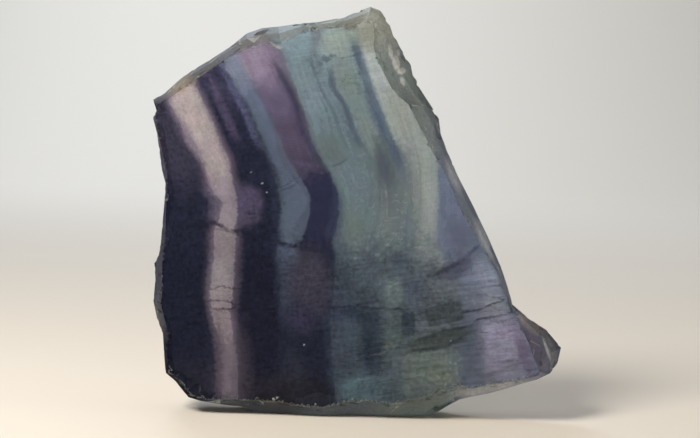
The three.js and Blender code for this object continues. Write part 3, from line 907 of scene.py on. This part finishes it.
def textured(colour, flat, x, z, growth):
    """Blotches, fine growth lines along the bands, and feathery healed cracks across them."""
    tree = colour.tree
    sea = smooth(growth, 5.0, 5.3)  # 1 in the blue and green zones
    top = smooth(z, 74.0, 86.0)
    low = 1.0 - smooth(z, 34.0, 50.0)
    blotches = noise(flat, 0.25, 4.0, 0.6) - 0.5
    hue = noise(vector_maths(tree, "ADD", flat, (40.0, 0.0, 9.0)), 0.16, 2.0)
    along = join(tree, growth * 16.0, 0.0, z * 0.05)
    fibres = noise(along, 1.2, 4.0, 0.7) - 0.5
    feathers = noise(join(tree, x * 0.11, 0.0, (z - x * 0.12) * 0.9), 1.0, 3.0, 0.65) - 0.5
    hairs = noise(join(tree, x * 0.35, 0.0, (z - x * 0.08) * 2.6), 1.0, 3.0, 0.7) - 0.5
    mottle = noise(flat, 0.9, 5.0, 0.75) - 0.5
    # ink is 1 in the nearly black bands, where only a strong texture shows
    ink = 1.0 - smooth(growth, 0.85, 1.1) + smooth(growth, 2.0, 2.25) * (1.0 - smooth(growth, 2.95, 3.15))
    ink = ink + low * (smooth(growth, 3.0, 3.1) - sea)
    texture = fibres * (0.8 + sea * (0.1 - low * 0.4)) + blotches * (0.8 + sea * (low - 0.4))
    calm = 1.0 - smooth(growth, 7.6, 8.2) * 0.6  # the lavender zone is smoother
    texture = texture + mottle * (0.8 + ink * 2.6 + sea * low * 1.6) * calm
    texture = texture + feathers * (sea * (low * 1.5 + top * 0.4 + 0.2) + ink)
    texture = texture + hairs * (0.3 + low * 0.5 + top * 0.4 + ink * 0.3)
    colour = scaled(colour, maths(tree, "MAXIMUM", texture + 1.0, 0.15))
    bluer = mix(smooth(hue, 0.35, 0.65), (0.97, 1.015, 0.985, 1.0), (1.015, 0.99, 1.025, 1.0))
    return times(colour, bluer)


def cracked(colour, flat, frayed, deep, fine, thread, tones):
    """Hairline cracks, which reach a little way in, and pale glints."""
    faint = 0.45 + smooth(noise(flat, 0.55, 4.0, 0.6), 0.36, 0.6) * 0.75
    crack = hairlines(frayed, CRACKS, thread, 0.45 + fine * 1.3)
    colour = mix(crack * faint * (1.0 - smooth(deep, 2.0, 9.0)), colour, (*tones.crack[:3], 1.0))
    return laid(colour, hairlines(frayed, GLINTS, thread, 0.4 + fine) * faint, GLINT)


def weathered(colour, drawn, z, sky, fresh, weathering, patch, wander, tones):
    """The rim's skin: duller than the stone, stained in patches and pale where it is crushed, with painted
    light and painted shade on some of its facets.
    """
    skin = scaled(colour, 0.9)
    for _, centre, half, turn, squareness, softness, code, strength in SKIN:
        mask = in_patch(drawn, patch, wander, centre, half, turn, squareness, softness) * strength
        skin = laid(skin, mask, code)
    skin = mix(smooth(sky, 0.25, 0.8) * smooth(z, 60.0, 84.0) * 0.35, skin, (*tones.khaki[:3], 1.0))
    # Painted shade: faces that look up are darkened, by half below the crown and by a quarter on it, so that
    # the lamps above don't light them brightly.
    skin = scaled(skin, 1.0 - smooth(sky, 0.25, 0.8) * (0.5 - smooth(z, 70.0, 84.0) * 0.25))
    skin = mix(fresh, skin, (*tones.fresh[:3], 1.0))
    return scaled(skin, 0.25 + weathering * 1.5)


def pit_mask(frayed):
    """The mask of the bright pits in the polish."""
    pits = 0.0
    for centre, radius, strength in PITS:
        apart = vector_maths(frayed.tree, "DISTANCE", frayed, (centre[0], 0, centre[1]), 1)
        inside = (1.0 - smooth(apart, radius * 0.4, radius * 1.2)) * strength
        pits = maths(frayed.tree, "MAXIMUM", inside, pits)
    return pits


def fluorite(tones):
    """The stone: banded, partly see-through, polished in front, sawn behind and cleaved on its rim."""
    material = bpy.data.materials.new("fluorite")
    material.use_nodes = True
    tree = material.node_tree
    tree.nodes.clear()
    output = tree.nodes.new("ShaderNodeOutputMaterial")
    shader = tree.nodes.new("ShaderNodeBsdfPrincipled")
    tree.links.new(shader.outputs[0], output.inputs["Surface"])
    shader.inputs["IOR"].default_value = 1.434
    shader.inputs["Transmission Weight"].default_value = 0.6
    shader.inputs["Metallic"].default_value = 0.0
    patch, thread = patch_group(), thread_group()

    # places in the stone: the bands lean and drift a little through its thickness, and waver along it
    drawn = drawn_place(tree)
    x, z = right_and_up(drawn)
    deep = reach_along(drawn, (0, 1, 0)) - LOW.y / MM
    lean = join(tree, deep * LEAN[0], 0.0, deep * LEAN[1])
    upright = join(tree, x, 0.0, z)
    drift = stirred(upright, 0.07, 1.0, deep * 0.5)
    flat = vector_maths(tree, "ADD", vector_maths(tree, "ADD", upright, lean), drift)
    wave = stirred(flat, 0.3, 6.0, 1.2)
    fray = stirred(flat, 1.3, 3.0, 1.7)
    warped = vector_maths(tree, "ADD", vector_maths(tree, "ADD", flat, wave), fray)
    frayed = vector_maths(tree, "ADD", flat, fray)
    wander = (noise(flat, 0.45, 5.0, 0.65) - 0.5) * 0.8
    breadth = 0.5 + noise(flat, 0.7, 4.0, 0.65)
    fine = noise(flat, 1.6, 2.0)

    growth = place(tree, growth_group(), Vector=warped)
    colour = band_ramp(growth, tones)
    colour = scaled(colour, 1.0 + smooth(z, 64.0, 104.0) * 0.86)  # painted light: the colour is made lighter towards the top, where more light falls on and through the stone
    colour = clouded(colour, warped, growth, patch, wander, CLOUDS)
    colour = clouded(colour, flat, growth, patch, 0.0, PANES)
    colour = streaked(colour, frayed, thread, breadth)
    colour = textured(colour, flat, x, z, growth)
    colour = cracked(colour, flat, frayed, deep, fine, thread, tones)

    rim, back, sky = attribute(tree, "rim"), attribute(tree, "back"), attribute(tree, "sky")
    fresh = attribute(tree, "fresh")
    weathering = noise(drawn, 1.4, 5.0, 0.65)
    skin = weathered(colour, drawn, z, sky, fresh, weathering, patch, wander, tones)
    colour = mix(rim, colour, skin)
    colour = mix(back * 0.12, colour, tone(SAW_DUST))

    shallow = 1.0 - smooth(deep, 2.0, 6.0)
    pits = pit_mask(frayed) * shallow
    shell = hairlines(frayed, [CRESCENT], thread, 0.5 + fine) * shallow
    colour = laid(colour, pits, PIT)
    colour = laid(colour, shell, SHELL)
    tree.links.new(colour.socket, shader.inputs["Base Color"])

    scoring = maths(tree, "SINE", (z + x * 0.15) * 9.0) * 0.3 + weathering  # the saw's marks on the back
    rough = noise(flat, 0.3, 2.0) * 0.06 + 0.13 + rim * (0.22 + weathering * 0.2) + back * 0.3 + pits * 0.3
    tree.links.new(rough.socket, shader.inputs["Roughness"])
    relief = weathering * rim + scoring * back * 0.25
    bump = build(tree, "ShaderNodeBump", {"Height": relief, "Strength": 0.5, "Distance": 0.15 * MM})
    tree.links.new(bump.socket, shader.inputs["Normal"])
    return material


# ---------------------------------------------------------------- operators


NICKED, CRUMBLED = 0.05, 0.9  # how crushed a nick and a crumb leave the stone

DAYLIGHT, WARM, COOL = (0.97, 0.98, 1.0), (1.0, 0.985, 0.95), (0.7, 0.83, 1.0)
AMBIENT, BACKGROUND = 0.12, 0.8  # strength of the world as light, and as the camera sees it
# The lamps: place, what they point at and width in metres, share of the key's power, colour.
LAMPS = {
    "key": ((-0.25, -0.2, 0.36), (0, 0, 0.03), 0.18, 1.0, WARM),
    "fill": ((0.45, -0.03, 0.28), (0, 0, 0.05), 0.18, 0.1, WARM),
    "overhead": ((0.0, 0.12, 0.9), (0, 0, 0), 0.7, 0.33, WARM),
    "backdrop": ((-0.28, 0.74, 0.75), (0.38, 1.0, 0.12), 0.5, 3.3, COOL),
}


def link(thing):
    bpy.context.scene.collection.objects.link(thing)
    return thing


class FLUORITE_OT_slab(bpy.types.Operator):
    """Chip the slab's rim and give the stone its bands"""

    bl_idname = "fluorite.slab"
    bl_label = "Slab"

    def execute(self, context):
        scene = context.scene
        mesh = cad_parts[NODE].data.copy()
        mesh.name = "banded_slab"
        mesh.materials.clear()
        form = bmesh.new()
        form.from_mesh(mesh)
        bmesh.ops.remove_doubles(form, verts=form.verts, dist=1e-7)
        if not all(edge.is_manifold for edge in form.edges):
            raise RuntimeError("the packed slab isn't one closed body")
        form.to_mesh(mesh)
        form.free()
        slab = link(bpy.data.objects.new("banded_slab", mesh))
        stone = fluorite(scene.fluorite_tones)
        chips = scene.fluorite_chips
        flakes, nicks = flake_tree(), nick_tree()
        apply_tree(
            slab, flakes, Flakes_Per_Square_Metre=0.5e5, Smallest=0.8 * MM, Largest=chips.coarse,
            Bite=0.15, Least_Upright=-0.2, Seed=chips.seed, Stone=stone,
        )
        apply_tree(
            slab, flakes, Flakes_Per_Square_Metre=1.5e5, Smallest=0.4 * MM, Largest=chips.fine,
            Bite=0.12, Seed=chips.seed + 1, Stone=stone,
        )
        cuts = [(surface_of(slab.data), NICKED)]
        apply_tree(
            slab, nicks, Spacing=0.5 * MM, Smallest=0.12 * MM, Largest=chips.nick,
            Seed=chips.seed + 2, Stone=stone,
        )
        cuts.append((surface_of(slab.data), CRUMBLED))
        apply_tree(
            slab, nicks, Spacing=0.2 * MM, Smallest=0.12 * MM, Largest=chips.crumb, Highest=12.0 * MM,
            Seed=chips.seed + 3, Stone=stone,
        )
        mark_faces(slab.data, cuts)
        for face in slab.data.polygons:
            face.use_smooth = False
        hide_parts(NODE)
        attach(slab, "root")
        return {"FINISHED"}


class FLUORITE_OT_stage(bpy.types.Operator):
    """Lay the pale sheet and set up the lights and the camera"""

    bl_idname = "fluorite.stage"
    bl_label = "Stage"

    def execute(self, context):
        studio = context.scene.fluorite_studio
        self.sheet()
        self.lights(studio)
        self.camera(context.scene, studio)
        return {"FINISHED"}

    def sheet(self):
        """A wide paper sheet that runs back and curves up far behind the slab."""
        front, flat, bend, height, half_width = 0.3, 0.8, 0.5, 2.2, 1.5
        profile = [(-front, 0.0), (flat, 0.0)]
        steps = 24
        for i in range(1, steps + 1):
            angle = math.pi / 2 * i / steps
            profile.append((flat + bend * math.sin(angle), bend * (1 - math.cos(angle))))
        profile.append((flat + bend, height))
        mesh = bpy.data.meshes.new("sheet")
        corners = [(x, y, z) for y, z in profile for x in (-half_width, half_width)]
        faces = [(2 * i, 2 * i + 1, 2 * i + 3, 2 * i + 2) for i in range(len(profile) - 1)]
        mesh.from_pydata(corners, [], faces)
        for face in mesh.polygons:
            face.use_smooth = True
        sheet = link(bpy.data.objects.new("sheet", mesh))
        sheet.visible_glossy = False  # so that the polish doesn't mirror it
        paper = bpy.data.materials.new("paper")
        paper.use_nodes = True
        shader = paper.node_tree.nodes["Principled BSDF"]
        shader.inputs["Base Color"].default_value = tone("F6E9D8")
        shader.inputs["Roughness"].default_value = 0.9
        mesh.materials.append(paper)

    def lights(self, studio):
        """The lamps, and a plain surrounding that looks brighter than the light it gives."""
        for name, (position, aim, width, share, colour) in LAMPS.items():
            light = bpy.data.lights.new(name, "AREA")
            light.shape = "DISK"
            light.size = width
            light.energy = studio.key * share
            light.color = colour
            lamp = link(bpy.data.objects.new(name, light))
            lamp.location = position
            direction = Vector(aim) - Vector(position)
            lamp.rotation_mode = "QUATERNION"
            lamp.rotation_quaternion = direction.to_track_quat("-Z", "Y")
        world = bpy.data.worlds.new("studio")
        world.use_nodes = True
        tree = world.node_tree
        background = tree.nodes["Background"]
        seen = build(tree, "ShaderNodeLightPath")
        strength = AMBIENT + seen * (BACKGROUND - AMBIENT)
        background.inputs[0].default_value = (*DAYLIGHT, 1.0)
        tree.links.new(strength.socket, background.inputs[1])
        bpy.context.scene.world = world

    def camera(self, scene, studio):
        """Looks at the polished face a little from above, with the horizon tipped as a hand holds it."""
        frame_width = 175.0 * MM  # seen across the picture at the slab
        right, inwards, up = -3.3 * MM, 3.5 * MM, 49.8 * MM  # from the drawing's zero, on the polish
        aim = Vector((DRAWN_ORIGIN[0] + right, LOW.y + inwards, DRAWN_ORIGIN[1] + up))
        back = Vector((0, -math.cos(studio.elevation), math.sin(studio.elevation)))
        lens = bpy.data.cameras.new("camera")
        lens.sensor_width = 36.0
        lens.lens = lens.sensor_width * studio.distance / frame_width
        camera = link(bpy.data.objects.new("camera", lens))
        camera.location = aim + back * studio.distance
        camera.rotation_mode = "QUATERNION"
        camera.rotation_quaternion = (-back).to_track_quat("-Z", "Y") @ Quaternion((0, 0, 1), TURN)
        lens.clip_start = 0.01
        scene.camera = camera
        scene.view_settings.view_transform = "Standard"


class FLUORITE_PT_sidebar(bpy.types.Panel):
    """The slab's settings and steps"""

    bl_idname = "FLUORITE_PT_sidebar"
    bl_label = "Fluorite Slab"
    bl_space_type = "VIEW_3D"
    bl_region_type = "UI"
    bl_category = "Fluorite"

    def draw(self, context):
        layout = self.layout
        for group in ("fluorite_chips", "fluorite_tones", "fluorite_studio"):
            settings = getattr(context.scene, group)
            box = layout.box()
            for name in settings.__annotations__:
                box.prop(settings, name)
        for operator in STEPS:
            layout.operator(operator.bl_idname)


STEPS = (FLUORITE_OT_slab, FLUORITE_OT_stage)
SETTINGS = {
    "fluorite_chips": FluoriteChips,
    "fluorite_tones": FluoriteTones,
    "fluorite_studio": FluoriteStudio,
}


def register():
    for cls in (*SETTINGS.values(), *STEPS, FLUORITE_PT_sidebar):
        bpy.utils.register_class(cls)
    for name, cls in SETTINGS.items():
        setattr(bpy.types.Scene, name, PointerProperty(type=cls))


def unregister():
    for name in SETTINGS:
        delattr(bpy.types.Scene, name)
    for cls in reversed((*SETTINGS.values(), *STEPS, FLUORITE_PT_sidebar)):
        bpy.utils.unregister_class(cls)


def main():
    register()
    bpy.ops.fluorite.slab()
    bpy.ops.fluorite.stage()


if __name__ == "__main__":
    main()
